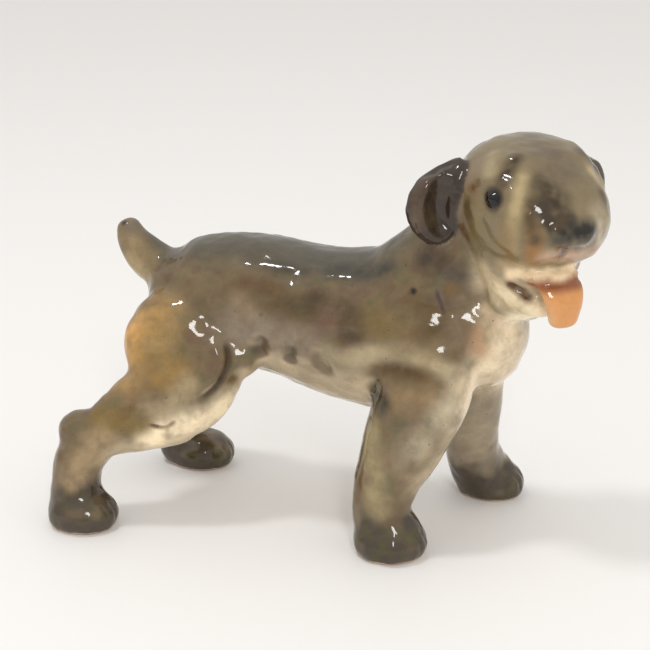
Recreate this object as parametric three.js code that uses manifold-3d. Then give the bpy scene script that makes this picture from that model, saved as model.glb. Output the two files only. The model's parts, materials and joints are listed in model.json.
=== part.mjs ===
// A glazed ceramic terrier puppy, slip cast in ten pieces that are luted together with slip before firing.
// Millimetres, +X towards the puppy's chest, +Y towards its left side, +Z up. It stands on Z = 0, and the
// origin is under the middle of the figurine. The head is turned towards the puppy's right shoulder.
import * as THREE from "three";
import { mergeVertices } from "three/addons/utils/BufferGeometryUtils.js";
import Module from "manifold-3d";

const wasm = await Module();
wasm.setup();

// ---- driving dimensions ------------------------------------------------------------------------------
const wall = 3.2; // thickness that the slip builds up against the mould
const slipJoint = 0.3; // layer of slip between two castings
const ventDiameter = 3; // hole under the belly that lets the air out in the kiln
const headTurn = THREE.MathUtils.degToRad(-45); // about Z, away from the line of the back
const headCentre = new THREE.Vector3(35.3, -1.3, 69.1);
const eyeRadius = 1.9;

const leftwards = new THREE.Vector3(0, 1, 0);

// ---- glazes ------------------------------------------------------------------------------------------
const glaze = (name, color) => new THREE.MeshStandardMaterial({ name, color, roughness: 0.15, metalness: 0 });
const coatGlaze = glaze("coat_glaze", 0x7a6c5a);
const faceGlaze = glaze("face_glaze", 0x9c8b72);
const earGlaze = glaze("ear_glaze", 0x4a403b);
const tongueGlaze = glaze("tongue_glaze", 0xd98a4e);

// ---- shaping tools -----------------------------------------------------------------------------------

// Keeps only the positions, with the doubled vertices along seams and poles merged.
function closedShape(geometry) {
  geometry.deleteAttribute("normal");
  geometry.deleteAttribute("uv");
  return mergeVertices(geometry, 1e-4);
}

// A closed body swept along a smooth spine. A station is [x, y, z, half width, half depth]: the width lies
// along `side`, the depth across it. `square` above 2 makes the section boxier, `bluntness` rounds the ends.
function limb(form, grow = 0) {
  const { stations, side = leftwards, around = 18, along = 18, cap = 4, square = 2, bluntness = 0.9 } = form;
  const curve = (points) => new THREE.CatmullRomCurve3(points, false, "catmullrom", 0.5);
  const girth = ([, , , width, depth]) => new THREE.Vector3(width + grow, depth + grow, 0);
  const spine = curve(stations.map(([x, y, z]) => new THREE.Vector3(x, y, z)));
  const sizes = curve(stations.map(girth));
  const body = closedShape(new THREE.CapsuleGeometry(1, 1, cap, around, along));
  const position = body.getAttribute("position");
  const boxy = (value) => Math.sign(value) * Math.abs(value) ** (2 / square);
  for (let i = 0; i < position.count; i++) {
    const reach = Math.hypot(position.getX(i), position.getZ(i));
    const turn = Math.atan2(position.getZ(i), position.getX(i));
    const onSpine = THREE.MathUtils.clamp(position.getY(i), -0.5, 0.5);
    const beyond = position.getY(i) - onSpine; // 0 on the side wall, up to 1 at the tip of an end
    const tangent = spine.getTangent(onSpine + 0.5);
    const size = sizes.getPoint(onSpine + 0.5);
    const across = side.clone().addScaledVector(tangent, -side.dot(tangent)).normalize();
    const up = new THREE.Vector3().crossVectors(across, tangent);
    const point = spine
      .getPoint(onSpine + 0.5)
      .addScaledVector(across, reach * boxy(Math.cos(turn)) * size.x)
      .addScaledVector(up, reach * boxy(Math.sin(turn)) * size.y)
      .addScaledVector(tangent, beyond * bluntness * Math.min(size.x, size.y));
    position.setXYZ(i, point.x, point.y, point.z);
  }
  return body;
}

// An egg-shaped body with its three radii.
function egg([x, y, z], [rx, ry, rz], grow = 0, around = 20, rings = 14) {
  const body = closedShape(new THREE.SphereGeometry(1, around, rings));
  return body.scale(rx + grow, ry + grow, rz + grow).translate(x, y, z);
}

// Pushes the surface out along its normals around a point, for a muscle, a cheek or a brow. A negative
// height presses a hollow.
function swell(geometry, [x, y, z], reach, height) {
  geometry.computeVertexNormals();
  const position = geometry.getAttribute("position");
  const normal = geometry.getAttribute("normal");
  const middle = new THREE.Vector3(x, y, z);
  const point = new THREE.Vector3();
  const outwards = new THREE.Vector3();
  for (let i = 0; i < position.count; i++) {
    point.fromBufferAttribute(position, i);
    const nearness = THREE.MathUtils.smoothstep(1 - point.distanceTo(middle) / reach, 0, 1);
    point.addScaledVector(outwards.fromBufferAttribute(normal, i), nearness * height);
    position.setXYZ(i, point.x, point.y, point.z);
  }
  geometry.deleteAttribute("normal");
  return geometry;
}

function solid(geometry) {
  const vertProperties = new Float32Array(geometry.getAttribute("position").array);
  const triVerts = new Uint32Array(geometry.index.array);
  return new wasm.Manifold(new wasm.Mesh({ numProp: 3, vertProperties, triVerts }));
}

const join = (...solids) => solids.reduce((all, next) => all.add(next));

// Everything on the side of a plane that `normal` points to, from `offset` beyond the point.
function beyondPlane([x, y, z], [nx, ny, nz], offset = 0) {
  const size = 160;
  const normal = new THREE.Vector3(nx, ny, nz).normalize();
  const box = closedShape(new THREE.BoxGeometry(size, size, size).translate(0, 0, size / 2 + offset));
  box.applyQuaternion(new THREE.Quaternion().setFromUnitVectors(new THREE.Vector3(0, 0, 1), normal));
  return solid(box.translate(x, y, z));
}

// ---- torso -------------------------------------------------------------------------------------------
const barrel = {
  around: 22,
  along: 18,
  cap: 4,
  stations: [
    [-29.5, 0, 42.5, 9.5, 10.5],
    [-25, 0, 43, 11.5, 12.6],
    [-17, 0, 43, 12.2, 13.4],
    [-10, 0, 42.6, 12.2, 13.6],
    [-2, 0, 41.2, 12.8, 14.5],
    [6, 0, 40.2, 13.6, 15.4],
    [14, 0, 40.2, 14, 16],
    [22, 0.5, 41.2, 13.4, 15.2],
    [27.5, 0.8, 42, 11.8, 12.6],
  ],
};
const neck = {
  around: 18,
  along: 8,
  cap: 3,
  stations: [
    [13, 0, 43.5, 12.6, 11.6],
    [18.5, 0, 48, 12.4, 12.4],
    [23.5, -0.2, 54, 11.2, 10.8],
    [28, -0.8, 60, 10.2, 9.6],
    [32, -1.6, 66, 8.6, 8],
  ],
};
const belly = [-10, 0, 29];

// ---- legs --------------------------------------------------------------------------------------------
// Each spine starts inside the torso and ends in the ball of the paw. `seam` is where the leg is luted on.
// The muscles are the shoulder, or the thigh, the seat behind it, the fold of the flank and the hock.
const hindTilt = THREE.MathUtils.degToRad(-24);
const legs = {
  fore_leg_right: {
    stations: [
      [21, -7, 40, 7.6, 10.4],
      [20.3, -9.5, 31, 7.4, 9.4],
      [18.4, -11, 24.1, 6.6, 8.2],
      [16.1, -12, 18.1, 6, 7.2],
      [14.5, -12.8, 13.2, 5.6, 6.2],
      [13.9, -13.2, 8.6, 5.4, 5.6],
      [14.6, -13.4, 5.6, 5.8, 6.2],
      [15.4, -13.6, 3.6, 6.2, 6.8],
    ],
    muscles: [{ at: [20, -7.5, 38], size: [11, 7, 10.5], tilt: 0 }],
    seam: { at: [19.6, -10, 27.5], towards: [0.25, 0.2, 1] },
    paw: { at: [16, -14.2, 2.6], size: [7.2, 6.6, 5] },
  },
  fore_leg_left: {
    stations: [
      [22, 7, 40, 7.4, 9.6],
      [24, 9, 31, 7, 8.4],
      [25.3, 11, 24, 6, 6.4],
      [25.2, 13, 17, 5.4, 5.6],
      [24.9, 15.6, 11, 5.2, 5.6],
      [25.6, 18, 6.4, 5.6, 6],
      [26.8, 19.4, 3.8, 6, 6.4],
    ],
    muscles: [{ at: [21.5, 7.5, 38], size: [11, 7, 10.5], tilt: 0 }],
    seam: { at: [24.6, 10, 27.5], towards: [-0.1, -0.3, 1] },
    paw: { at: [28, 19.4, 2.6], size: [7.2, 6.4, 5] },
  },
  hind_leg_right: {
    stations: [
      [-24.5, -8.5, 38, 6.4, 9.6],
      [-25.6, -11, 31, 6.8, 10.8],
      [-29.4, -13.2, 25.8, 6.6, 9.8],
      [-35.4, -15.4, 22.2, 5.8, 7.7],
      [-41.6, -17.8, 18.6, 5, 5.3],
      [-45.6, -19.2, 14, 4.8, 5.1],
      [-46.6, -20, 8.8, 4.8, 4.9],
      [-46.2, -20.4, 4, 5.8, 6],
    ],
    muscles: [
      { at: [-28.2, -8.8, 35.4], size: [11, 7.4, 11.5], tilt: hindTilt },
      { at: [-33.2, -11, 32.4], size: [5, 5, 9], tilt: hindTilt },
      { at: [-16.6, -8.8, 34.2], size: [5.4, 4.4, 4.6], tilt: hindTilt },
      { at: [-45.6, -18.6, 18.9], size: [4.7, 4.4, 4.3], tilt: 0 },
    ],
    seam: { at: [-31.4, -13.8, 25], towards: [0.66, 0.3, 0.68] },
    paw: { at: [-45, -20.8, 2.6], size: [7.2, 6.2, 5] },
  },
  hind_leg_left: {
    stations: [
      [-26, 8.5, 37, 6.4, 8.2],
      [-27.4, 10.6, 31.6, 6.4, 8],
      [-30.6, 12.6, 26, 6, 7.2],
      [-34.6, 14.2, 21.2, 5.4, 6],
      [-38, 15.2, 16.4, 4.8, 5.1],
      [-40, 15.8, 11.4, 4.6, 4.8],
      [-40, 16, 6.8, 4.8, 5],
      [-39, 16.2, 3.6, 5.6, 5.6],
    ],
    muscles: [
      { at: [-28.4, 8.4, 37], size: [9.4, 7.2, 10.6], tilt: hindTilt },
      { at: [-33.2, 10.4, 33], size: [5, 5, 9], tilt: hindTilt },
      { at: [-17.4, 8.4, 35], size: [5, 4.4, 4.6], tilt: hindTilt },
      { at: [-38.8, 15, 18.2], size: [4.5, 4.2, 4.2], tilt: 0 },
    ],
    seam: { at: [-31.6, 13, 25], towards: [0.66, -0.3, 0.68] },
    paw: { at: [-34.8, 15.6, 2.6], size: [7.6, 6.2, 5] },
  },
};

const tail = {
  around: 12,
  along: 8,
  side: new THREE.Vector3(0, 1, 0),
  stations: [
    [-31, 0, 45, 5, 5.4],
    [-35, 0, 47.4, 4.5, 4.8],
    [-38.2, 0, 49.6, 4.1, 4.3],
    [-41, 0, 52.4, 3.6, 3.7],
    [-42.6, 0, 55.4, 2.5, 2.6],
  ],
};
const tailSeam = { at: [-35.4, 0, 48], towards: [0.8, 0, -0.6] };

// ---- head, in its own frame: +X along the muzzle, +Y its left, +Z up, the middle of the skull at 0 ----
const skull = {
  around: 24,
  along: 12,
  cap: 4,
  square: 2.4,
  bluntness: 0.6,
  stations: [
    [-6.5, 0.3, -0.8, 10.2, 7.8],
    [-2, 0.6, 0, 11.8, 9.9],
    [3, 0.3, -0.2, 12.4, 10.5],
    [7, 0, -1.8, 12, 10],
    [11, 0, -3.8, 11.4, 8.6],
    [13.6, 0, -5.4, 10, 7],
  ],
};
const cheeks = {
  around: 18,
  along: 8,
  cap: 3,
  bluntness: 0.7,
  stations: [
    [2, 0, 0, 12, 10.5],
    [2.6, 0, -5, 12.4, 10.8],
    [4.2, 0, -10, 11.2, 9.6],
    [6.2, 0, -14.6, 8.8, 7.2],
    [7.6, 0, -17.6, 6, 5.2],
  ],
};
const jaw = {
  around: 14,
  along: 4,
  cap: 3,
  square: 2.3,
  bluntness: 0.6,
  stations: [
    [4, 0, -15.6, 8.4, 5.4],
    [8.5, 0, -17.4, 7, 4],
    [11.4, 0, -18.2, 5.4, 2.9],
  ],
};
const nose = { at: [15, 0.4, -1.9], size: [3.4, 4.8, 3.8] };
const eye = { at: [8, 10.2, 1.4] };
const mouth = { at: [14.6, 0, -14.1], size: [6, 12, 1.3], droop: THREE.MathUtils.degToRad(10) };
const tongueForm = {
  around: 12,
  along: 10,
  cap: 3,
  square: 2.4,
  stations: [
    [8, 0, -13.2, 4, 1.2],
    [12.4, 0, -13.9, 4.5, 1.3],
    [14.8, 0, -15.2, 4.5, 1.6],
    [15.6, 0, -17.8, 3.7, 1.7],
    [15.4, 0, -20.4, 2.8, 1.6],
  ],
};

// The flap hangs from a root high on the skull and stands out from the cheek, hollow side forward.
const earForm = (sign) => ({
  around: 14,
  along: 10,
  cap: 3,
  side: new THREE.Vector3(-0.3, sign, 0).normalize(),
  stations: [
    [-1.4, sign * 11, 3.8, 3.2, 2.4],
    [-1.8, sign * 14, 2.2, 4.0, 2.6],
    [-2.2, sign * 16.2, -0.9, 4.9, 2.6],
    [-2.2, sign * 16.1, -4, 4.9, 2.6],
    [-1.8, sign * 15, -6.8, 3.5, 2],
  ],
});

const headPose = new THREE.Matrix4().makeRotationZ(headTurn).setPosition(headCentre);

// ---- forms that several castings share, each grown by a layer where a neighbour has to clear it --------
function torsoForm(grow = 0) {
  const trunk = limb(barrel, grow);
  swell(trunk, [20, -13, 42], 13, 1.2);
  swell(trunk, [20, 13, 42], 13, 1.2);
  swell(trunk, [-2, 0, 56], 12, -0.8);
  return join(solid(trunk), solid(limb(neck, grow)));
}

function headForm(grow = 0) {
  const face = limb(skull, grow);
  for (const side of [-1, 1]) swell(face, [8, side * 6, 7], 5, 0.9);
  const gap = egg([0, 0, 0], mouth.size, -grow).rotateY(mouth.droop).translate(...mouth.at);
  const eyes = [-1, 1].map((side) => [eye.at[0], side * eye.at[1], eye.at[2]]);
  return join(
    solid(face),
    solid(limb(cheeks, grow)),
    solid(limb(jaw, grow)),
    solid(egg(nose.at, nose.size, grow, 14, 10)),
    ...eyes.map((at) => solid(egg(at, Array(3).fill(eyeRadius), grow, 10, 8))),
  )
    .subtract(solid(gap))
    .transform(headPose.elements);
}

function legForm({ stations, muscles, paw }) {
  const shank = limb({ stations, around: 14, along: 16, cap: 3 });
  const bulge = ({ at, size, tilt }) => solid(egg([0, 0, 0], size, 0, 18, 12).rotateY(tilt).translate(...at));
  const foot = egg(paw.at, paw.size, 0, 16, 10);
  return join(solid(shank), ...muscles.map(bulge), solid(foot)).subtract(beyondPlane([0, 0, 0], [0, 0, -1]));
}

// ---- castings ----------------------------------------------------------------------------------------
const neckSeam = { at: [31.4, -1.4, 60.2], towards: [0.35, -0.1, 0.93] };
const lean = { around: 14, along: 10, cap: 3 }; // coarser facets for the surfaces inside

const legStump = (leg) => legForm(leg).intersect(beyondPlane(leg.seam.at, leg.seam.towards));

function torsoCasting() {
  const stumps = Object.values(legs).map(legStump);
  const rump = solid(limb(tail)).intersect(beyondPlane(tailSeam.at, tailSeam.towards));
  const cavity = join(solid(limb({ ...barrel, ...lean }, -wall)), solid(limb({ ...neck, ...lean }, -wall)));
  const vent = closedShape(new THREE.CylinderGeometry(ventDiameter / 2, ventDiameter / 2, 4 * wall, 16));
  return join(torsoForm(), ...stumps, rump)
    .subtract(beyondPlane(neckSeam.at, neckSeam.towards))
    .subtract(cavity)
    .subtract(solid(vent.rotateX(Math.PI / 2).translate(...belly)));
}

// The head takes the top of the neck with it, and clears what is left of the neck by the layer of slip.
function headCasting() {
  const inside = solid(limb({ ...skull, ...lean }, -wall).applyMatrix4(headPose));
  const throat = solid(limb({ ...neck, ...lean }, -wall));
  const below = torsoForm(slipJoint).subtract(beyondPlane(neckSeam.at, neckSeam.towards, slipJoint));
  return join(headForm(), solid(limb(neck))).subtract(below).subtract(inside).subtract(throat);
}

function legCasting(leg) {
  const above = beyondPlane(leg.seam.at, leg.seam.towards, -slipJoint);
  return legForm(leg).subtract(above).subtract(torsoForm(slipJoint));
}

function tailCasting() {
  const inside = beyondPlane(tailSeam.at, tailSeam.towards, -slipJoint);
  return solid(limb(tail)).subtract(inside).subtract(torsoForm(slipJoint));
}

function stuckToHead(form) {
  const neighbours = join(headForm(slipJoint), torsoForm(slipJoint));
  return solid(form.applyMatrix4(headPose)).subtract(neighbours);
}

// ---- the figurine ------------------------------------------------------------------------------------
const figurine = new THREE.Group();

function addCasting(name, casting, material) {
  const { vertProperties, triVerts } = casting.getMesh();
  const geometry = new THREE.BufferGeometry();
  geometry.setAttribute("position", new THREE.BufferAttribute(vertProperties, 3));
  geometry.setIndex(new THREE.BufferAttribute(triVerts, 1));
  geometry.computeVertexNormals();
  const mesh = new THREE.Mesh(geometry, material);
  mesh.name = name;
  figurine.add(mesh);
}

addCasting("torso", torsoCasting(), coatGlaze);
addCasting("head", headCasting(), faceGlaze);
for (const [name, sign] of Object.entries({ ear_right: -1, ear_left: 1 })) {
  const flap = swell(limb(earForm(sign)), [3, sign * 16.6, -2], 6, -1.6);
  addCasting(name, stuckToHead(flap), earGlaze);
}
addCasting("tongue", stuckToHead(limb(tongueForm)), tongueGlaze);
addCasting("tail", tailCasting(), coatGlaze);
for (const [name, leg] of Object.entries(legs)) addCasting(name, legCasting(leg), coatGlaze);

// The origin goes under the middle of the figurine, level with the soles.
const bounds = new THREE.Box3().setFromObject(figurine);
const middle = bounds.getCenter(new THREE.Vector3());
for (const casting of figurine.children) casting.geometry.translate(-middle.x, -middle.y, -bounds.min.z);

export default figurine;
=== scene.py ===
# A glazed ceramic terrier puppy. One skin of glaze is grown over the ten castings, sculpted, airbrushed,
# and cut back into the castings, so that colours and gloss run over the joints as on the real one.
import json
from math import cos, radians, sin

import bmesh
import bpy
import numpy as np
from mathutils import Matrix, Vector
from mathutils.bvhtree import BVHTree


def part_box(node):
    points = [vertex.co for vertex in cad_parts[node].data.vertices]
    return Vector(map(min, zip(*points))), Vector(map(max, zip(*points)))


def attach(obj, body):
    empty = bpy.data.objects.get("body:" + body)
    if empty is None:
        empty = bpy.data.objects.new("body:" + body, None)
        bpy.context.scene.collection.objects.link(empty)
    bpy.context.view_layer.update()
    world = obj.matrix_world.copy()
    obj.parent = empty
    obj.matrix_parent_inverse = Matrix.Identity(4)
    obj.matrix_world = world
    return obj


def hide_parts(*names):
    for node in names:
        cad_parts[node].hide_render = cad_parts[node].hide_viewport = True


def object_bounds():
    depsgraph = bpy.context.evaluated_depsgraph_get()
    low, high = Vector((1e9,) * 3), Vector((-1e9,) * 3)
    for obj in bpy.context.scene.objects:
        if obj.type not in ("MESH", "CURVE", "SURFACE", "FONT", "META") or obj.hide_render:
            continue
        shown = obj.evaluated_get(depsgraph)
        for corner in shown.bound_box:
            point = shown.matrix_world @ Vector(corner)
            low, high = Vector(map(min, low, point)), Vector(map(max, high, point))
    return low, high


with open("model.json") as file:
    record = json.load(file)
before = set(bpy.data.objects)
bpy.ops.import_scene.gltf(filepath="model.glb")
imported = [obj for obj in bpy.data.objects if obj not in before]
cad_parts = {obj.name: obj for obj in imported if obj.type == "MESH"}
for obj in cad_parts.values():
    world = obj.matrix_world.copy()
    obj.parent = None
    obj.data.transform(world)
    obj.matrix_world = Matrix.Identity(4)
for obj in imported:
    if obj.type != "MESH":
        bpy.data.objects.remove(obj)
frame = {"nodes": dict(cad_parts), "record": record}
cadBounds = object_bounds()
mm = 1000  # the skin is shaped in millimetres and goes back to metres when its pieces are finished
scene = bpy.context.scene
castings = sorted(frame["nodes"])
slotOf = {part["node"]: part["material_slot"] for part in frame["record"]["subparts"]}
bothSides = (-1, 1)

# Places. A place on the body is in percent of the figurine's length, width and height, and side -1 is its
# right side, which the camera sees. A place on the head is in millimetres from the middle of the skull:
# forward, to its left, up, and side -1 mirrors it to the right.
low, high = (np.array(corner) * mm for corner in cadBounds)
size = high - low
headLow, headHigh = (np.array(corner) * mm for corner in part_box("head"))
headMiddle = headLow + (headHigh - headLow) * (0.469, 0.574, 0.674)
headTurn = radians(-45)


def onBody(along, across, up, side=-1):
    return low + size * np.array([along, across if side < 0 else 100 - across, up]) / 100


def onHead(forward, left, up, side=1):
    left = left * side
    along = forward * cos(headTurn) - left * sin(headTurn)
    across = forward * sin(headTurn) + left * cos(headTurn)
    return headMiddle + np.array((along, across, up))


# Growing the skin over the castings. The clay is extra lumps on the head, each a middle and half sizes.
skinRecipe = {
    "overlap": 0.25,  # each casting swells by this much, which closes the layer of slip between two of them
    "voxel": 0.35,
    "ventPlug": {"place": (40, 51.2, 38.8), "radius": 2.4, "depth": 2.9},
    "clayOnCheeks": [((0.6, 10.8, -1.5), (4.4, 2.6, 7)), ((-1.2, 13.6, -1), (2.2, 2, 6))],
    "clayInMiddle": [((7.3, -2, -14.2), (5.4, 5.6, 2.2)), ((11.4, -0.6, -12.9), (4.1, 6.3, 1.6)),
                     ((3.6, -0.6, -19.2), (5.6, 7.2, 4.6))],
    # passes that melt the facets, and passes that soften the borders between the parts
    "rounds": {"body": 150, "legs": 110, "head": 60, "ears": 16, "tongue": 7},
    "blends": {"legs": 90, "head": 60, "ears": 8, "tongue": 8},
}


def castingMesh(name):
    shape = bmesh.new()
    shape.from_mesh(frame["nodes"][name].data)
    bmesh.ops.remove_doubles(shape, verts=shape.verts, dist=1e-6)
    bmesh.ops.scale(shape, vec=(mm, mm, mm), verts=shape.verts)
    shape.normal_update()
    return shape


def addTo(whole, part):
    holder = bpy.data.meshes.new("holder")
    part.to_mesh(holder)
    part.free()
    whole.from_mesh(holder)
    bpy.data.meshes.remove(holder)


def meshObject(name, shape):
    mesh = bpy.data.meshes.new(name)
    shape.to_mesh(mesh)
    shape.free()
    thing = bpy.data.objects.new(name, mesh)
    scene.collection.objects.link(thing)
    return thing


def finishedMesh(thing):
    bpy.context.view_layer.update()
    return bpy.data.meshes.new_from_object(thing.evaluated_get(bpy.context.evaluated_depsgraph_get()))


def keepOuterShell(shape):
    start = max(shape.verts, key=lambda v: v.co.x)
    outer = {start}
    edge = [start]
    while edge:
        near = [e.other_vert(v) for v in edge for e in v.link_edges]
        edge = [v for v in dict.fromkeys(near) if v not in outer]
        outer.update(edge)
    inner = [v for v in shape.verts if v not in outer]
    bmesh.ops.delete(shape, geom=inner, context="VERTS")


def addClay(whole):
    lumps = [(onHead(*place), radii) for place, radii in skinRecipe["clayInMiddle"]]
    for place, radii in skinRecipe["clayOnCheeks"]:
        lumps += [(onHead(*place, side), radii) for side in bothSides]
    for place, radii in lumps:
        turned = Matrix.Translation(place) @ Matrix.Rotation(headTurn, 4, "Z") @ Matrix.Diagonal((*radii, 1))
        bmesh.ops.create_icosphere(whole, subdivisions=3, radius=1, matrix=turned)
    plug = skinRecipe["ventPlug"]
    bmesh.ops.create_cone(
        whole, cap_ends=True, segments=24, radius1=plug["radius"], radius2=plug["radius"],
        depth=plug["depth"], matrix=Matrix.Translation(onBody(*plug["place"])),
    )


def grownTogether():
    whole = bmesh.new()
    for name in castings:
        part = castingMesh(name)
        for v in part.verts:
            v.co += v.normal * skinRecipe["overlap"]
        addTo(whole, part)
    addClay(whole)
    thing = meshObject("grown", whole)
    remesh = thing.modifiers.new("voxels", "REMESH")
    remesh.mode = "VOXEL"
    remesh.voxel_size = skinRecipe["voxel"]
    mesh = finishedMesh(thing)
    bpy.data.objects.remove(thing)
    shape = bmesh.new()
    shape.from_mesh(mesh)
    keepOuterShell(shape)
    return meshObject("skin", shape)


skin = grownTogether()
points = np.empty((len(skin.data.vertices), 3))
skin.data.vertices.foreach_get("co", points.ravel())
count = len(points)
faceCorners = [tuple(face.vertices) for face in skin.data.polygons]
print("skin grown over the castings:", count, "points")


def asShape(values):
    skin.data.vertices.foreach_set("co", np.asarray(values, np.float32).ravel())
    skin.data.update()


def outwards(values):
    asShape(values)
    facing = np.empty(count * 3)
    skin.data.vertex_normals.foreach_get("vector", facing)
    return facing.reshape(count, 3)


# Averages every point's values with its neighbours'. The values go through the Smooth modifier as if they
# were places, so the same helper evens out a shape, a mask or a colour.
def evened(values, rounds):
    values = np.asarray(values, float)
    wide = values.reshape(count, -1)
    columns = wide.shape[1]
    asShape(np.pad(wide, ((0, 0), (0, 3 - columns))))
    smooth = skin.modifiers.new("even", "SMOOTH")
    smooth.factor = 0.5
    smooth.iterations = rounds
    mesh = finishedMesh(skin)
    skin.modifiers.clear()
    result = np.empty(count * 3)
    mesh.vertices.foreach_get("co", result)
    bpy.data.meshes.remove(mesh)
    return result.reshape(count, 3)[:, :columns].reshape(values.shape)


def meltedFacets(values, rounds):
    smoothed = evened(values, rounds)
    return smoothed + evened(values - smoothed, rounds)  # gives back the girth that plain smoothing takes


def mixed(a, b, share):
    return a + (b - a) * np.clip(share, 0, 1)[:, None]


def castingUnder(values):
    corners, faces, owners = [], [], []
    for index, name in enumerate(castings):
        mesh = frame["nodes"][name].data
        start = len(corners)
        corners += [v.co * mm for v in mesh.vertices]
        faces += [[start + v for v in face.vertices] for face in mesh.polygons]
        owners += [index] * len(mesh.polygons)
    tree = BVHTree.FromPolygons(corners, faces)
    return np.array([owners[tree.find_nearest(Vector(p))[2]] for p in values])


owner = castingUnder(points)
part = {name: (owner == index).astype(float) for index, name in enumerate(castings)}


# The body is melted most. The legs, the head, the ears and the tongue are blended in with fewer passes.
def melted(values):
    rounds, blends = skinRecipe["rounds"], skinRecipe["blends"]
    ears = part["ear_right"] + part["ear_left"]
    shares = {
        "legs": sum(part[name] for name in castings if "leg" in name),
        "head": part["head"] + ears + part["tongue"],
        "ears": ears,
        "tongue": part["tongue"],
    }
    shape = meltedFacets(values, rounds["body"])
    for key, share in shares.items():
        shape = mixed(shape, meltedFacets(values, rounds[key]), evened(share, blends[key]) * 2)
    return shape - outwards(shape) * skinRecipe["overlap"]


points = melted(points)
normals = outwards(points)
tree = BVHTree.FromPolygons([Vector(p) for p in points], faceCorners)
dice = np.random.default_rng(11)
print("facets melted")


def snapped(place):
    where, facing = tree.find_nearest(Vector(place))[:2]
    return np.array(where), np.array(facing)


# A smooth line over the skin through a few stops, as places and the way the skin faces at each.
def lineOver(stops, stepsBetween=8):
    before = 2 * stops[0] - stops[min(1, len(stops) - 1)]
    after = 2 * stops[-1] - stops[max(len(stops) - 2, 0)]
    ends = [before, *stops, after]
    places = [stops[-1]]
    for a, b, c, d in zip(ends, ends[1:], ends[2:], ends[3:]):
        for t in np.linspace(0, 1, stepsBetween, endpoint=False):
            bend = (2 * a - 5 * b + 4 * c - d) * t**2 + (3 * b - a - 3 * c + d) * t**3
            places.append(0.5 * (2 * b + (c - a) * t + bend))
    found = [snapped(place) for place in [*places[1:], places[0]]]
    return np.array([f[0] for f in found]), np.array([f[1] for f in found])


# How near each point of the skin is to a line over it: 1 on the line, 0 at the reach and beyond, and on the
# far side of a thin limb. `fade` lets the line's ends run out.
def nearness(stops, reach, fade=0.0):
    places, facings = lineOver(stops)
    inside = np.all((points > places.min(0) - reach) & (points < places.max(0) + reach), axis=1)
    chosen = np.flatnonzero(inside)
    best = np.zeros(len(chosen))
    last = max(len(places) - 1, 1)
    for index, (place, facing) in enumerate(zip(places, facings)):
        share = 1 - np.linalg.norm(points[chosen] - place, axis=1) / reach
        share *= np.clip(1.2 + 2 * normals[chosen] @ facing, 0, 1)
        if fade:
            share *= np.clip(min(index, last - index) / last / fade + 0.15, 0, 1)
        best = np.maximum(best, share)
    result = np.zeros(count)
    result[chosen] = best * best * (3 - 2 * best)
    return result


def swell(stops, reach, height, fade=0.0):
    global points, normals
    points = points + normals * (nearness(stops, reach, fade) * height)[:, None]
    normals = outwards(points)


# A line pressed with a modelling tool: a groove with the clay pushed up a little on both sides of it.
def crease(stops, width, depth, fade=0.3):
    swell(stops, width * 2.4, depth * 0.45, fade)
    swell(stops, width, -depth * 1.45, fade)


# Modelling of the body: swells are stops, reach, height and fade, creases are stops, width and depth.
bodyModelling = {
    "swells": {
        "firstDimple": ([(39.4, 29.7, 48.4), (38.8, 29.7, 46.4)], 2.6, -0.85, 0),
        "secondDimple": ([(45.2, 28.7, 47.4), (44.9, 28.7, 45.8)], 2.2, -0.85, 0),
        "lumpBetween": ([(42.2, 29.2, 47.4)], 2.6, 0.5, 0),
        "lumpAfter": ([(47.6, 28, 46.6)], 2.4, 0.35, 0),
        "flankHollow": ([(50, 27.3, 47.6), (51.2, 27.3, 45.6), (52.6, 28.4, 43)], 2.4, -0.75, 0.2),
        "flankRidge": ([(54.2, 26, 49), (54.8, 26, 44.6)], 3.2, 0.5, 0.1),
        "ribs": ([(46, 26, 56)], 12, 0.5, 0),
        "elbowHollow": ([(60.9, 25, 41.6), (60.2, 25, 44)], 3.4, -0.3, 0),
        "shoulderHollow": ([(61, 25.2, 46), (64.5, 23.6, 47), (69.4, 21.9, 47)], 2.4, -0.3, 0.2),
        "thighLip": ([(31.4, 26, 48), (32, 23.4, 43), (30.4, 20, 39), (27.4, 17.8, 36.6)], 2.2, 0.4, 0.3),
        "vent": ([(40, 51.2, 36.7)], 2.1, -2.4, 0),
    },
    "creases": {
        "thighFold": ([(33.1, 27.1, 48.5), (34, 25.3, 43.4), (32.4, 21.3, 38.2), (29.6, 18.4, 35)],
                      1.1, 0.5),
        "innerFold": ([(28.8, 23.5, 46.5), (29.2, 21, 42.6), (27.6, 18.6, 39.4)], 1.1, 0.14),
        "kneeFold": ([(20.4, 12.7, 28.6), (23.5, 14.4, 27.6), (25.6, 15.4, 29.6)], 0.8, 0.3),
        "neckFold": ([(71.4, 29.8, 66), (72.3, 29.6, 62.6), (73.4, 29.4, 59.4)], 0.45, 0.13),
    },
}
headModelling = {
    "swells": {
        "socket": ([(9.1, 11.6, 1.4)], 4.2, -0.75, 0),
        "eyeball": ([(9.1, 11.6, 1.4)], 2.2, 1.5, 0),
        "besideMuzzle": ([(3.7, 11.8, 2.4), (4.6, 12, -2.5), (7.5, 11.2, -7), (11, 9.2, -10),
                          (13.6, 7, -11)], 2.3, 0.5, 0.2),
        "brow": ([(6.2, 11.2, 3.8), (9.2, 10.6, 4.4), (12, 9.6, 2.8)], 2.0, 0.42, 0),
    },
    "creases": {},
}
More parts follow.
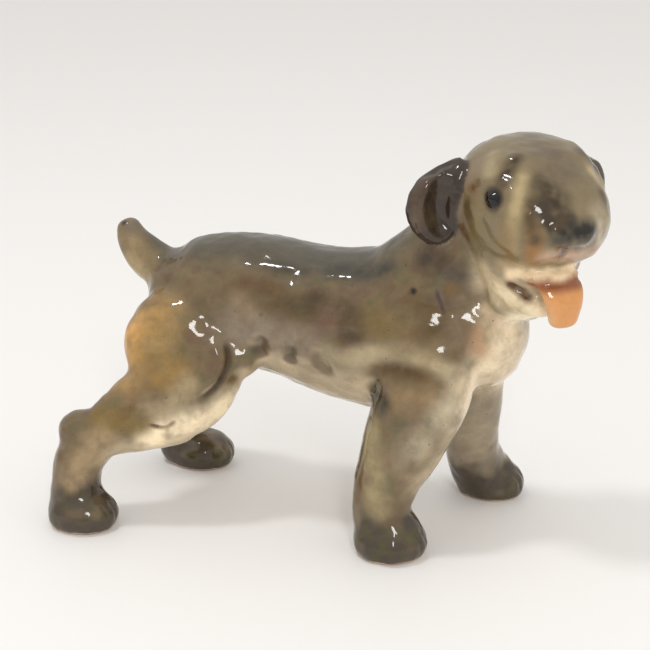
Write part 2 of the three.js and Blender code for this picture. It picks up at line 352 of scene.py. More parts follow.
muzzleModelling = {
    "swells": {
        "noseBulb": ([(17.9, -3.2, -4), (18.4, -1, -4.2), (18, 1.4, -4.2)], 3.5, 1.4, 0),
        "noseUnderside": ([(17.6, -2.9, -6.6), (18.1, -0.9, -6.9), (17.8, 1.4, -6.8)], 1.5, -0.35, 0.2),
        "rightNostril": ([(18.4, -3.6, -4.2), (18.5, -3, -4.6)], 1.0, -0.5, 0),
        "leftNostril": ([(18.6, 0.9, -4.6), (18.4, 1.7, -4.3)], 1.0, -0.5, 0),
        "rightWing": ([(18, -4.6, -2.9)], 1.3, 0.3, 0),
        "lips": ([(9.6, -6.9, -12), (12.9, -4.6, -12), (14.8, 0, -11.6), (13, 4.6, -12)], 1.7, 0.35, 0.1),
    },
    "creases": {
        "philtrum": ([(18, -1.6, -6.4), (17.3, -2, -8.4), (16, -2, -10.4)], 0.8, 0.18),
        "mouthCorner": ([(8.0, -7.5, -13.9), (10.4, -5.8, -15.6), (12.4, -4.3, -17)], 1.2, 0.6),
    },
}
earModelling = {
    "swells": {
        "rim": ([(-0.6, 13.6, 5.8), (-0.4, 17.2, 4.4), (-0.6, 19.5, 1), (-0.8, 19.6, -3), (-0.4, 18, -6.6),
                 (-0.2, 15.4, -8)], 1.9, 0.6, 0.15),
        "topEdge": ([(-1.4, 14.6, 7), (-1.4, 17.2, 5.8)], 3, -1.0, 0),
        "valley": ([(0.8, 16, 2.4), (0.8, 16.4, -1), (0.6, 16, -5)], 3.4, -1.0, 0.15),
        "innerRidge": ([(0.4, 13.6, 2.4), (0.4, 13.4, -1.4), (0.4, 13.9, -5)], 2, 0.4, 0.2),
    },
    "creases": {},
}


def model(recipe, place, sides):
    for side in sides:
        for stops, reach, height, fade in recipe["swells"].values():
            swell([place(*stop, side) for stop in stops], reach, height, fade)
        for stops, width, depth in recipe["creases"].values():
            crease([place(*stop, side) for stop in stops], width, depth)


model(bodyModelling, onBody, bothSides)
model(headModelling, onHead, bothSides)
model(muzzleModelling, onHead, [1])
model(earModelling, onHead, bothSides)
print("body, head and ears modelled")

# Three shallow grooves between the toes of each paw, then the ripples that a thick glaze sets in.
finish = {
    "toeSpacing": 2.2,
    "toeStops": [(-2.6, 0, 5.4), (-0.8, 0, 3.8), (0, 0, 1.4)],  # back, across and up from the tip of the paw
    "toeGroove": {"width": 0.8, "depth": 0.15},
    "soleHeight": 3,
    "ripples": [(160, 0.06), (45, 0.03)],  # passes that set their breadth, and height
}


def modelToes():
    for name in castings:
        if "leg" not in name:
            continue
        sole = points[(part[name] > 0) & (points[:, 2] < finish["soleHeight"])]
        middle, front = (sole.min(0) + sole.max(0)) / 2, sole.max(0)
        for across in (-1, 0, 1):
            tip = np.array([front[0], middle[1] + across * finish["toeSpacing"], 0])
            groove = finish["toeGroove"]
            crease([tip + stop for stop in finish["toeStops"]], groove["width"], groove["depth"])


def cloud(rounds):
    values = evened(dice.normal(size=count), rounds)
    return values / values.std()


modelToes()
points = meltedFacets(points, 2)
points += normals * sum(cloud(rounds) * height for rounds, height in finish["ripples"])[:, None]
points[:, 2] = np.maximum(points[:, 2], 0)  # the soles are wiped flat
normals = outwards(points)
print("toes and ripples modelled")


def pigment(code):
    channels = [int(code[i : i + 2], 16) / 255 for i in (0, 2, 4)]
    return np.array([c / 12.92 if c <= 0.04045 else ((c + 0.055) / 1.055) ** 2.4 for c in channels])


def rising(values, start, stop):
    share = np.clip((values - start) / (stop - start), 0, 1)
    return share * share * (3 - 2 * share)


def spray(share, code):
    global colour
    colour = mixed(colour, pigment(code), share)


def airbrush(stops, reach, code, strength=1.0, fade=0.0):
    ragged = 1 + 0.16 * broadCloud + 0.1 * fineCloud
    spray(nearness(stops, reach, fade) * strength * ragged, code)


def paint(strokes, place, sides):
    for side in sides:
        for stops, *brush in strokes.values():
            airbrush([place(*stop, side) for stop in stops], *brush)


# The ground colours under the strokes. Heights are in percent of the figurine's height.
coat = {
    "ground": "6f5f48",
    "olivePatches": {"colour": "59583c", "strength": 0.5},
    "rustPatches": {"colour": "634739", "strength": 0.45},
    "undersides": {"colour": "c0b098", "from": 8, "to": 22},
    "top": {"colour": "4c4840", "strength": 0.85, "from": 58, "to": 64},
    "paws": {"colour": "433b33", "strength": 0.92, "from": 16, "to": 5, "olive": "4d4a2c"},
    "farLegs": {"colour": "978d80", "strength": 0.6},
}
headColours = {
    "ground": "7d7058",
    "tongue": "d89a63",
    # Painted shadow: the top of the tongue, under the lips, is painted rust brown.
    "tongueShadowUnderLips": {"colour": "965a36", "from": -15.6, "to": -14},
    "nearEar": "372c26",
    "farEar": "5b5349",
    # Painted shade in the eye sockets:
    "eyeSocketShade": "38281b",
    "eyes": "08090b",
}
eye = {"place": (9.1, 11.6, 1.4), "socketShadeReach": 3.0, "black": 1.65}
glazeTint = (1.03, 0.99, 0.87)  # the clear glaze is faintly honey coloured
fineCloud, broadCloud, otherCloud = cloud(12), cloud(90), cloud(60)
colour = np.tile(pigment(coat["ground"]), (count, 1))

# Airbrushed strokes: stops, reach, colour, strength and, where the ends run out, fade.
bodyStrokes = {
    "slateShoulders": ([(50, 36, 68), (57, 35, 68.4), (64, 34, 68.6)], 4, "37342f", 0.8, 0.2),
    "slateBack": ([(40, 35, 67), (47, 34.6, 66.4)], 3, "3c352b", 0.8, 0.2),
    "rumpTop": ([(22, 30, 59), (30, 28.6, 59.4)], 6, "70604a", 0.6),
    "upperFlank": ([(35, 28, 60), (43, 27, 59.6), (49, 27, 58.4)], 5.5, "52432a", 0.8),
    "flankPaler": ([(35.5, 29, 58.6), (38, 28.6, 55)], 4, "93806c", 0.6),
    "flankBrown": ([(50, 27, 60), (56, 26.6, 58), (57, 26, 54)], 4.2, "463722", 0.85),
    "flankRust": ([(36, 29, 63), (42, 29, 62.6)], 3, "5d4224", 0.55),
    "flankPurple": ([(52.6, 27, 57), (51.4, 26.4, 54)], 3.5, "6b5045", 0.75),
    "lowerFlank": ([(34, 27.5, 51), (41, 28, 50.6), (48, 27.4, 49.6)], 6, "877a6d", 0.85),
    "flankPale": ([(53, 26.4, 47), (57, 25.6, 45.6)], 5, "9a8d75", 0.8),
    "paleCrescent": ([(58, 25.2, 48.6), (63, 24.1, 49.8), (70, 22.6, 50.2), (74.6, 24.6, 47)],
                     3.2, "aa9c82", 0.95),
    "shoulderBrown": ([(57.4, 26, 56.4), (56, 26, 53)], 3.4, "4b3d29", 0.7),
    "shoulderOlive": ([(61, 26, 58), (66, 26, 55)], 5.5, "736238", 0.6),
    "shoulderTaupe": ([(66, 24, 52), (72, 26, 52)], 4, "84735a", 0.7),
    # Painted shade: a dark brown arc laid along the shoulder hollow, where shade falls.
    "shoulderHollowShade": ([(61, 25.2, 44.6), (63.6, 24, 46.4), (67, 22.1, 46.6), (71.6, 22, 45.4)],
                    3, "5a4527", 0.85, 0.1),
    "ochreThigh": ([(20, 24, 54), (17, 23, 46), (14, 20, 40)], 8.5, "a88754", 0.85),
    "brightSeat": ([(15, 26, 50), (12, 24, 42)], 5, "cb9d63", 0.85),
    "thighOchre": ([(22, 20, 47), (24, 19, 42)], 6, "9c8252", 0.7),
    "thighOlive": ([(22, 18, 41), (25, 19, 40)], 6, "8a6c34", 0.6),
    "thighPale": ([(27.4, 17.5, 38.6), (25, 15.4, 33.8), (21, 14.6, 32.4)], 4, "a59478", 0.85),
    "shankPale": ([(21, 14, 24), (27, 17, 28), (31, 22, 29), (34, 26, 33)], 5, "f6e6cc", 1.1),
    "shank": ([(12, 11, 25), (8, 10, 18), (6, 10, 12)], 5, "a28c6e", 0.85),
    "belly": ([(36, 36, 39.6), (46, 33, 39), (54, 34, 40)], 4.6, "a89a85", 0.8),
    "hock": ([(19, 12, 28.5), (11, 12, 29.5)], 4.4, "75602f", 0.8),
    "upperArm": ([(66, 20.4, 40), (72, 21.4, 41)], 5, "866f52", 0.8),
    "armPale": ([(66, 17.6, 24), (72.1, 20.4, 33.6), (76.3, 25.8, 42.1)], 4.4, "b3a996", 0.65, 0.3),
    "armBack": ([(61.3, 21.2, 31), (62.3, 17.6, 21.4), (63.4, 16.4, 13)], 4, "9a8d6c", 0.85),
    # Painted shade: near-black olive laid in the armpit hollow, where shade falls.
    "armpitShade": ([(61.4, 24.8, 39.6), (63.4, 21.4, 38)], 3.4, "332710", 1.1),
    "chestCream": ([(83, 38, 52), (80.6, 34.4, 45), (78.6, 31.4, 38)], 8, "e6d6bf", 1.0),
    "chestPeach": ([(78.6, 31, 56), (79.4, 32, 51.4)], 3.2, "b58c68", 0.6),
    "throat": ([(79.8, 36.5, 61), (83, 38, 58)], 5, "c9b69d", 0.85),
    "neckTaupe": ([(76.4, 32, 60), (75.6, 31, 55)], 4, "7a6a58", 0.8),
    "neckDark": ([(69.6, 31.4, 71.6), (73.4, 30.6, 70.6), (76.6, 31.2, 68)], 4.6, "43382c", 0.9),
    "neckSide": ([(75.6, 33, 66), (77.4, 33.6, 63.6)], 3.4, "62533f", 0.8),
    "collar": ([(71.4, 27, 58), (70, 26.6, 55.6)], 3.4, "55401f", 0.7),
    "neckBrown": ([(70.8, 28.6, 58.6), (71.4, 29.6, 60.6), (68.4, 27.6, 62.6)], 3.8, "5d4a2c", 0.8),
}
middleStrokes = {
    "spine": ([(24, 50, 66), (44, 50, 69), (66, 50, 72)], 10, "504d46", 0.6, 0.1),
    "chest": ([(85, 50, 52), (83, 50, 44), (78, 50, 36)], 9, "dfd0bd", 0.9),
    "tail": ([(13, 44, 63), (10, 46, 69)], 5, "8f7d60", 0.8),
    "tailRoot": ([(15, 43.2, 58.6), (10.6, 45, 63)], 3, "b3a07c", 0.85, 0.1),
    "tailTip": ([(9.6, 47.7, 74), (10.6, 48, 71)], 3.4, "73665a", 0.9),
    "tailSpot": ([(8.6, 45.6, 73.4)], 1.0, "3a2b2e", 1.2),
}
faceStrokes = {
    "temple": ([(1.7, 11.3, 4.1), (3, 10.4, 6.5)], 3.6, "877868", 0.8),
    "besideStripe": ([(4.4, 8.8, 7.9), (6.4, 10.2, 5.6)], 2.4, "a0937a", 0.9),
    "browStripe": ([(9.0, 6.6, 8.3), (9.4, 8.4, 6.4), (9.8, 9.8, 4.3)], 2.2, "3a2c18", 1.1),
    "upperPatch": ([(3.7, 11.8, 2.4)], 2.8, "65452a", 0.75),
    "cheek": ([(5.4, 11.9, -1), (5, 12, -6)], 3.6, "766743", 0.8),
    "cheekDark": ([(3.2, 12, -0.6), (3, 12, -3)], 2.6, "47351e", 0.7),
    "lowerPatch": ([(1.4, 12.1, -4.6), (2.2, 12.1, -7)], 2.8, "5e4429", 0.8),
    "streak": ([(11.6, 6.4, 6.2), (13.5, 8.9, 1.9), (13.9, 10.3, -2.3), (13.3, 9.2, -7.8)],
               2.2, "ab9a78", 0.9, 0.1),
    "streakFoot": ([(12.6, 10.2, -3.6), (12, 10, -8)], 3.6, "8c7550", 0.75),
    "tanStripe": ([(16.9, 7.6, -4), (16, 7.2, -7), (15, 6.6, -9.4)], 2.8, "926a3c", 0.9),
    "oliveStripe": ([(15.1, 7.4, 1.6), (16, 8, -1), (16.9, 7.6, -4.6)], 2.3, "54432a", 0.95),
    "mouthBrown": ([(9.2, 8.9, -10.8), (12.4, 7.4, -10.6)], 2.6, "b9a481", 0.7),
    "jaw": ([(5.4, 8.4, -15.6), (9.1, 6.6, -17.5), (12.1, 4.1, -19.2)], 6, "ecdcc0", 1.0),
    "jowl": ([(4.4, 9.6, -12)], 3.6, "bfae90", 0.85),
}
muzzleStrokes = {
    "forehead": ([(5.1, 0, 9.9), (12.6, 0, 6)], 7.5, "675b4b", 0.9),
    "bridge": ([(14.4, -4.4, 3.6), (16.2, -3.6, 2), (17.2, -3.4, 0.2)], 4.6, "372a15", 0.95),
    "farMuzzle": ([(17.6, 5.4, -1.6), (15.4, 7.6, -5)], 4.4, "a39885", 0.9),
    "farRidge": ([(18.2, 4.4, -1.6), (17.6, 5.2, -4.6), (15.4, 6.8, -8)], 1.5, "c0b6aa", 0.8, 0.2),
    "underNose": ([(16.4, -4.4, -8), (16.6, 0, -8.4), (15.2, 5.4, -8.4)], 3, "bda08d", 0.9),
    "lips": ([(9.4, -6.9, -12.2), (12.9, -5.2, -11.8), (15, 0, -11.4), (12.6, 5.4, -11.8)],
             2.2, "f0dabd", 1.1),
    "noseTop": ([(16.4, -6, 0.8), (18.1, -5.2, -1.2), (18.4, -2.4, -1.2)], 2.8, "3a2e20", 1.1),
    "nose": ([(17.8, -3.5, -3.2), (18.6, -1, -3.8), (18.2, 1.7, -4)], 3.7, "24221f", 1.4),
    "noseBrown": ([(17.8, -4.4, -2.4), (18.2, -3, -1.2)], 1.8, "4c3920", 0.8),
    "philtrum": ([(18, -1.6, -6.4), (17.3, -2, -8.4)], 1.7, "6f5c55", 0.8),
    # The jaw's cream, painted brighter than the jaw: partly the real cream, partly painted light that lifts
    # the shade under the chin.
    "underChinCreamAndLight": ([(5, -2.6, -21), (9.6, -2.4, -21.4)], 4.5, "fbf0dc", 1.1),
    "chin": ([(11.4, -3, -20), (12.6, 1, -19.6)], 4.5, "f0e2cb", 1.0),
    # Painted shade: dark brown laid in the mouth-corner crease, in the gap between the lips.
    "mouthCorner": ([(8.0, -7.5, -13.9), (10.4, -5.8, -15.6), (12.4, -4.3, -17)], 1.6, "5c3a1c", 1.2, 0.25),
}
earStrokes = {
    "rim": ([(-1.4, -18.6, 3.4), (-1.6, -20.6, 0), (-1.4, -20, -4.6)], 2.2, "584638", 0.7),
}
# Painted shade: dark strokes laid in the folds, dimples, flank hollow and vent hole of the modelling, where
# shade falls. Each starts from the stops of its own fold or hollow.
folds, dips = bodyModelling["creases"], bodyModelling["swells"]
foldShadeStrokes = {
    "thighFold": (folds["thighFold"][0], 1.3, "3d2f1d", 0.95, 0.2),
    "kneeFold": (folds["kneeFold"][0], 0.8, "5d4327", 0.9, 0.2),
    "firstDimple": (dips["firstDimple"][0], 2, "544a44", 0.75),
    "secondDimple": (dips["secondDimple"][0], 2.2, "5e5648", 0.65),
    "flankHollow": (dips["flankHollow"][0], 2.2, "756a58", 0.5, 0.2),
    # Painted shade: the vent plug's dip is darkened to stand in for the dark inside of the open vent hole.
    "vent": (dips["vent"][0], 1.9, "241b14", 1.6),
}
nearStrokes = {
    # Painted shade: a dark purple line laid in the neck crease.
    "neckFold": (folds["neckFold"][0], 0.6, "45303a", 0.9, 0.2),
    "tanOvalEdge": ([(74.1, 30.8, 65.2)], 2.6, "4b3c2a", 0.7),
    "tanOval": ([(74.1, 30.8, 65.6), (74.1, 30.8, 64.8)], 1.9, "6b5330", 1.5),
    "greenDot": ([(67.6, 29, 64.6)], 1.0, "141d12", 1.8),
    "blemish": ([(39.9, 28.8, 55.6)], 0.8, "4a4a46", 0.9),
}


def paintBody():
    height = (points[:, 2] - low[2]) / size[2] * 100
    olive, rust, under, top = (coat[key] for key in ("olivePatches", "rustPatches", "undersides", "top"))
    spray(rising(otherCloud, 0.2, 1.6) * olive["strength"], olive["colour"])
    spray(rising(-otherCloud, 0.2, 1.6) * rust["strength"], rust["colour"])
    below = rising(-normals[:, 2] + 0.05 * broadCloud, 0.05, 0.6)
    spray(below * rising(height, under["from"], under["to"]), under["colour"])
    above = rising(normals[:, 2], 0.5, 0.9)
    spray(above * rising(height, top["from"], top["to"]) * top["strength"], top["colour"])
    paint(bodyStrokes, onBody, bothSides)
    paint(middleStrokes, onBody, [-1])
    paws = rising(-height + 2.4 * broadCloud, -coat["paws"]["from"], -coat["paws"]["to"])
    spray(paws * coat["paws"]["strength"], coat["paws"]["colour"])
    spray(paws * rising(otherCloud, 0.2, 1.4) * 0.6, coat["paws"]["olive"])
    farLegs = evened(part["fore_leg_left"] + part["hind_leg_left"], 30)
    spray(farLegs * coat["farLegs"]["strength"] * (1 - paws), coat["farLegs"]["colour"])
    # Painted shade in the folds, dimples, flank hollow and vent hole.
    paint(foldShadeStrokes, onBody, bothSides)
    paint(nearStrokes, onBody, [-1])


def paintHead():
    spray(evened(part["head"], 20), headColours["ground"])
    tongue = evened(part["tongue"], 3)
    # Painted shadow under the lips: rust brown over the top of the tongue.
    root = headColours["tongueShadowUnderLips"]
    spray(tongue, headColours["tongue"])
    lipShadowShare = rising(points[:, 2], onHead(0, 0, root["from"])[2], onHead(0, 0, root["to"])[2])
    spray(tongue * lipShadowShare, root["colour"])
    paint(faceStrokes, onHead, bothSides)
    paint(muzzleStrokes, onHead, [1])
    spray(evened(part["ear_right"], 6), headColours["nearEar"])
    spray(evened(part["ear_left"], 6), headColours["farEar"])
    paint(earStrokes, onHead, [1])
    # A dark brown ring of painted shade in each eye socket, then the black of the eye.
    for side in bothSides:
        away = np.linalg.norm(points - onHead(*eye["place"], side), axis=1)
        spray(rising(-away, -eye["socketShadeReach"], -eye["black"]) * 0.85, headColours["eyeSocketShade"])
        spray(rising(-away, -eye["black"] - 0.2, -eye["black"] + 0.1), headColours["eyes"])


paintBody()
paintHead()
colour *= glazeTint
# How far each point lies in a dip, which is where the glaze pools.
hollow = evened(np.einsum("ij,ij->i", evened(points, 14) - points, normals), 3)
print("colours airbrushed")


# Cutting the skin back into its castings, along seams that are first made smooth.
def smoothSeams(shape, faceOwner, rounds=10):
    edges = {}
    for face, corners in enumerate(faceCorners):
        for a, b in zip(corners, corners[1:] + corners[:1]):
            edges.setdefault((min(a, b), max(a, b)), []).append(face)
    seam = np.array([pair for pair, faces in edges.items() if faceOwner[faces[0]] != faceOwner[faces[1]]])
    onSeam = np.bincount(seam.ravel(), minlength=count) == 2
    for _ in range(rounds):
        total = np.zeros((count, 3))
        np.add.at(total, seam[:, 0], shape[seam[:, 1]])
        np.add.at(total, seam[:, 1], shape[seam[:, 0]])
        shape = shape.copy()
        shape[onSeam] = 0.5 * shape[onSeam] + 0.25 * total[onSeam]
    return shape


# A face belongs to the casting that most of its corners belong to.
def faceOwners():
    owners = np.stack([evened(part[name], 12) for name in castings]).argmax(0)
    corners = np.array([c if len(c) == 4 else (*c, c[-1]) for c in faceCorners])
    ranked = np.sort(owners[corners], axis=1)
    return np.where(ranked[:, 1] == ranked[:, 2], ranked[:, 1], ranked[:, 0])


def keepOnSkin(name, kind, key, values):
    layer = skin.data.attributes.new(name, kind, "POINT")
    layer.data.foreach_set(key, np.asarray(values, np.float32).ravel())


def separated(faceOwner):
    for name in castings:
        skin.data.materials.append(bpy.data.materials.new(name))
    skin.data.polygons.foreach_set("material_index", faceOwner.astype(np.int32))
    bpy.ops.object.select_all(action="DESELECT")
    skin.select_set(True)
    bpy.context.view_layer.objects.active = skin
    bpy.ops.mesh.separate(type="MATERIAL")
    return {thing.data.materials[0].name: thing for thing in list(bpy.context.selected_objects)}


# Each rim that the cut leaves is closed with a fan of faces to its middle.
def closeCuts(shape):
    rims = [edge for edge in shape.edges if edge.is_boundary]
    while rims:
        loop, edge = {rims[0]}, [rims[0]]
        while edge:
            near = [e for old in edge for v in old.verts for e in v.link_edges]
            edge = [e for e in near if e.is_boundary and e not in loop]
            loop.update(edge)
        middle = sum((v.co for e in loop for v in e.verts), Vector()) / (2 * len(loop))
        grown = bmesh.ops.extrude_edge_only(shape, edges=list(loop))["geom"]
        inner = [item for item in grown if isinstance(item, bmesh.types.BMVert)]
        bmesh.ops.pointmerge(shape, verts=inner, merge_co=middle)
        rims = [edge for edge in shape.edges if edge.is_boundary]


def finishPiece(name, piece):
    shape = bmesh.new()
    shape.from_mesh(piece.data)
    before = set(shape.faces)
    closeCuts(shape)
    bmesh.ops.recalc_face_normals(shape, faces=shape.faces)
    for face in shape.faces:
        face.smooth = face in before
        face.material_index = 0
    bmesh.ops.scale(shape, vec=(1 / mm, 1 / mm, 1 / mm), verts=shape.verts)
    piece.name = "glazed_" + name
    shape.to_mesh(piece.data)
    shape.free()
    keepSkinNormals(piece.data)
    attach(piece, "root")
    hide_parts(name)


# The normals of the whole skin are kept on each piece, so that no joint shows in the gloss.
def keepSkinNormals(mesh):
    kept = np.empty(len(mesh.vertices) * 3)
    mesh.attributes["skinNormal"].data.foreach_get("vector", kept)
    corner = np.empty(len(mesh.loops), int)
    mesh.loops.foreach_get("vertex_index", corner)
    result = kept.reshape(-1, 3)[corner]
    for face in mesh.polygons:
        if not face.use_smooth:
            result[face.loop_start : face.loop_start + face.loop_total] = face.normal
    mesh.normals_split_custom_set(result.tolist())
    mesh.attributes.remove(mesh.attributes["skinNormal"])


faceOwner = faceOwners()
points = smoothSeams(points, faceOwner)
normals = outwards(points)
keepOnSkin("glazeColour", "FLOAT_COLOR", "color", np.column_stack([colour, np.ones(count)]))
keepOnSkin("hollow", "FLOAT", "value", hollow)
keepOnSkin("skinNormal", "FLOAT_VECTOR", "vector", normals)
pieces = separated(faceOwner)
for name, piece in pieces.items():
    finishPiece(name, piece)
faceCounts = {name: len(piece.data.polygons) for name, piece in pieces.items()}
print("skin cut into", len(pieces), "pieces, with these numbers of faces:", faceCounts)


def addNode(tree, kind, inputs=None, **settings):
    node = tree.nodes.new(kind)
    for key, value in settings.items():
        setattr(node, key, value)
    for key, value in (inputs or {}).items():
        socket = node.inputs[key]
        if isinstance(value, bpy.types.NodeSocket):
            tree.links.new(value, socket)
        else:
            socket.default_value = value
    return node


# What the shared glaze can be told, and what each of the four glazes changes.
glazeDefaults = {
    "Mottle": 0.55,
    "Mottle Scale": 210,
    "Specks": 0.12,
    "Pooling": 4.0,
    "Foot Height": 0.0009,  # metres that are left bare above the table
    "Ripple Scale": 260,
    "Gloss": 0.05,
}
glazes = {
    "coat_glaze": {},
    "face_glaze": {"Mottle": 0.35, "Specks": 0.06, "Pooling": 2.0},
    "ear_glaze": {"Mottle": 0.4, "Ripple Scale": 330, "Pooling": 0.8},
    "tongue_glaze": {"Mottle": 0.25, "Specks": 0.0, "Pooling": 2.0},
}
glazeLook = {
    "warmPatch": (0.22, 0.16, 0.06, 1),
    "pooled": (0.3, 0.22, 0.16, 1),
    "speck": (0.05, 0.035, 0.025, 1),
    "bareClay": (0.66, 0.5, 0.38, 1),
    "bareRoughness": 0.65,
    "rippleDepth": 0.00012,
}


# Paint under clear glaze: soft mottling, dark specks, glaze pooled in the hollows, bare clay where the feet
# were wiped, and fine ripples.
def glazeGroup():
    group = bpy.data.node_groups.new("glazedPaint", "ShaderNodeTree")
    face = group.interface
    face.new_socket("Place", in_out="INPUT", socket_type="NodeSocketVector")
    face.new_socket("Paint", in_out="INPUT", socket_type="NodeSocketColor")
    for name in ("Hollow", *glazeDefaults):
        face.new_socket(name, in_out="INPUT", socket_type="NodeSocketFloat")
    face.new_socket("Colour", in_out="OUTPUT", socket_type="NodeSocketColor")
    face.new_socket("Roughness", in_out="OUTPUT", socket_type="NodeSocketFloat")
    face.new_socket("Height", in_out="OUTPUT", socket_type="NodeSocketFloat")
    given = group.nodes.new("NodeGroupInput").outputs
    result = group.nodes.new("NodeGroupOutput").inputs

    def math(operation, *values, clamp=False):
        numbered = dict(enumerate(values))
        return addNode(group, "ShaderNodeMath", numbered, operation=operation, use_clamp=clamp).outputs[0]

    def blend(kind, share, a, b):
        mix = addNode(group, "ShaderNodeMix", {0: share, 6: a, 7: b}, data_type="RGBA", blend_type=kind)
        return mix.outputs[2]

    def noise(scale, detail, roughness=0.5, distortion=0.0):
        inputs = {"Vector": given["Place"], "Scale": scale, "Detail": detail,
                  "Roughness": roughness, "Distortion": distortion}
        return addNode(group, "ShaderNodeTexNoise", inputs).outputs["Fac"]

    mottle = noise(given["Mottle Scale"], 6, 0.62, 0.4)
    grain = noise(2600, 3)
    centred = math("SUBTRACT", math("ADD", math("MULTIPLY", mottle, 0.8), math("MULTIPLY", grain, 0.2)), 0.5)
    tone = math("MULTIPLY_ADD", math("MULTIPLY", centred, given["Mottle"]), 2, 1)
    tones = addNode(group, "ShaderNodeCombineColor", {"Red": tone, "Green": tone, "Blue": tone})
    painted = blend("MULTIPLY", 1, given["Paint"], tones.outputs[0])
    warmth = math("MULTIPLY", math("SUBTRACT", noise(190, 4, 0.6), 0.56, clamp=True), given["Mottle"])
    warm = blend("MIX", math("MULTIPLY", warmth, 2.4), painted, glazeLook["warmPatch"])
    pooled = math("MINIMUM", math("MAXIMUM", math("MULTIPLY", given["Hollow"], given["Pooling"]), 0), 0.8)
    deep = blend("MULTIPLY", pooled, warm, glazeLook["pooled"])
    cells = addNode(group, "ShaderNodeTexVoronoi", {"Vector": given["Place"], "Scale": 420, "Randomness": 1})
    speck = math("LESS_THAN", cells.outputs["Distance"], math("MULTIPLY", given["Specks"], noise(700, 1)))
    specked = blend("MIX", math("MULTIPLY", speck, 0.55), deep, glazeLook["speck"])
    height = addNode(group, "ShaderNodeSeparateXYZ", {"Vector": given["Place"]}).outputs["Z"]
    wavy = math("MULTIPLY_ADD", noise(300, 2), 0.0009, height)
    glazed = math("MULTIPLY", math("SUBTRACT", wavy, given["Foot Height"]), 5000, clamp=True)
    group.links.new(blend("MIX", glazed, glazeLook["bareClay"], specked), result["Colour"])
    smear = math("MULTIPLY_ADD", noise(240, 3), 0.05, given["Gloss"])
    rough = glazeLook["bareRoughness"]
    bare = math("SUBTRACT", rough, math("MULTIPLY", glazed, rough))
    group.links.new(math("ADD", math("MULTIPLY", smear, glazed), bare), result["Roughness"])
    ripple = math("ADD", noise(given["Ripple Scale"], 2, 0.45, 0.6), math("MULTIPLY", noise(1500, 2), 0.07))
    group.links.new(ripple, result["Height"])
    return group


glazedPaint = glazeGroup()


def glazeMaterial(name, changes):
    material = bpy.data.materials.new(name)
    material.use_nodes = True
    nodes = material.node_tree
    nodes.nodes.clear()
    place = addNode(nodes, "ShaderNodeTexCoord").outputs["Object"]
    paint = addNode(nodes, "ShaderNodeAttribute", attribute_name="glazeColour").outputs["Color"]
    hollows = addNode(nodes, "ShaderNodeAttribute", attribute_name="hollow").outputs["Fac"]
    inputs = {"Place": place, "Paint": paint, "Hollow": hollows, **glazeDefaults, **changes}
    group = nodes.nodes.new("ShaderNodeGroup")
    group.node_tree = glazedPaint
    for key, value in inputs.items():
        if isinstance(value, bpy.types.NodeSocket):
            nodes.links.new(value, group.inputs[key])
        else:
            group.inputs[key].default_value = value
    bump = addNode(nodes, "ShaderNodeBump", {
        "Strength": 1.0, "Distance": glazeLook["rippleDepth"], "Height": group.outputs["Height"]})
    shader = addNode(nodes, "ShaderNodeBsdfPrincipled", {
        "Base Color": group.outputs["Colour"], "Roughness": group.outputs["Roughness"],
        "Normal": bump.outputs["Normal"], "IOR": 1.5})
    addNode(nodes, "ShaderNodeOutputMaterial", {"Surface": shader.outputs[0]})
    return material


for slot, changes in glazes.items():
    material = glazeMaterial(slot, changes)
    for name, piece in pieces.items():
        if slotOf[name] == slot:
            piece.data.materials.clear()
            piece.data.materials.append(material)
for name in castings:
    bpy.data.materials.remove(bpy.data.materials[name])
print("glazes mixed")

# Floor, light and camera. A direction is a bearing from the figurine's right side and a height, in degrees.
studio = {
    "floorSize": 8,
    "floorColour": (0.9, 0.885, 0.865, 1),
    "sky": {"colour": (1, 0.985, 0.965, 1), "horizon": 0.6, "zenith": 0.92},
    "key": {"azimuth": -45, "elevation": 73, "distance": 0.8, "size": 0.12, "power": 1.4},
    "window": {"azimuth": 27, "elevation": 34, "distance": 0.9, "size": 0.13, "height": 0.3, "power": 1.6},
    "view": {"azimuth": 18, "elevation": 18, "distance": 0.292, "lens": 85,
             "lift": (-0.0004, -0.0044, 0.00125)},
}
middle = Vector(((low + high) / 2 / mm).tolist())


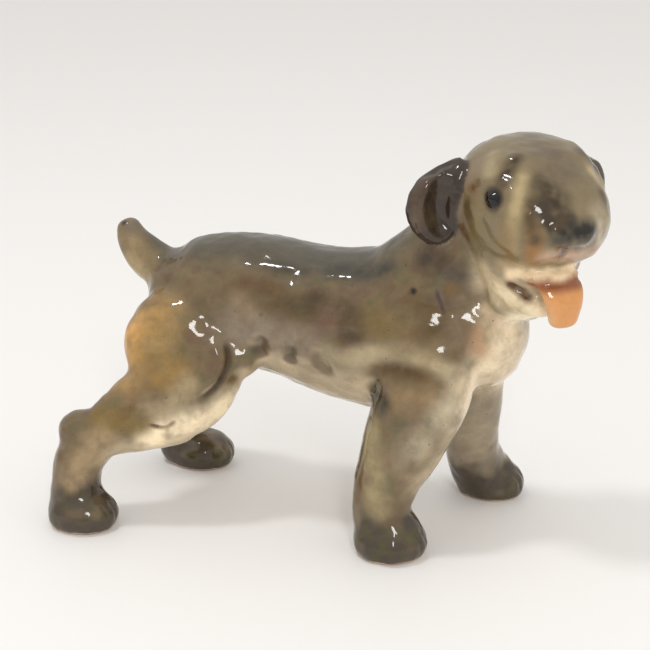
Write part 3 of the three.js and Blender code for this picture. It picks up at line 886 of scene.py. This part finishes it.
def direction(azimuth, elevation):
    a, e = radians(azimuth), radians(elevation)
    return Vector((sin(a) * cos(e), -cos(a) * cos(e), sin(e)))


def facing(thing, place, target):
    thing.location = place
    thing.rotation_euler = (target - place).to_track_quat("-Z", "Y").to_euler()
    scene.collection.objects.link(thing)


def buildFloor():
    shape = bmesh.new()
    bmesh.ops.create_grid(shape, x_segments=1, y_segments=1, size=studio["floorSize"] / 2)
    floor = meshObject("floor", shape)
    material = bpy.data.materials.new("paleFloor")
    material.use_nodes = True
    shader = material.node_tree.nodes["Principled BSDF"]
    shader.inputs["Base Color"].default_value = studio["floorColour"]
    shader.inputs["Roughness"].default_value = 0.6
    floor.data.materials.append(material)


def buildSky():
    world = bpy.data.worlds.new("softRoom")
    world.use_nodes = True
    nodes = world.node_tree
    way = addNode(nodes, "ShaderNodeTexCoord").outputs["Generated"]
    height = addNode(nodes, "ShaderNodeSeparateXYZ", {"Vector": way}).outputs["Z"]
    glow = addNode(nodes, "ShaderNodeMapRange", {
        "Value": height, "To Min": studio["sky"]["horizon"], "To Max": studio["sky"]["zenith"]})
    backdrop = nodes.nodes["Background"]
    backdrop.inputs["Color"].default_value = studio["sky"]["colour"]
    nodes.links.new(glow.outputs[0], backdrop.inputs["Strength"])
    scene.world = world


def addLight(name):
    values = studio[name]
    light = bpy.data.lights.new(name, "AREA")
    light.shape = "ELLIPSE"
    light.size = values["size"]
    light.size_y = values.get("height", values["size"])
    light.energy = values["power"]
    place = middle + direction(values["azimuth"], values["elevation"]) * values["distance"]
    facing(bpy.data.objects.new(name, light), place, middle)


def buildStudio():
    buildFloor()
    buildSky()
    addLight("key")
    addLight("window")
    view = studio["view"]
    camera = bpy.data.cameras.new("camera")
    camera.lens = view["lens"]
    camera.clip_start = 0.01
    target = middle + Vector(view["lift"])
    thing = bpy.data.objects.new("camera", camera)
    facing(thing, target + direction(view["azimuth"], view["elevation"]) * view["distance"], target)
    scene.camera = thing
    scene.view_settings.view_transform = "Standard"


buildStudio()
print("studio set")
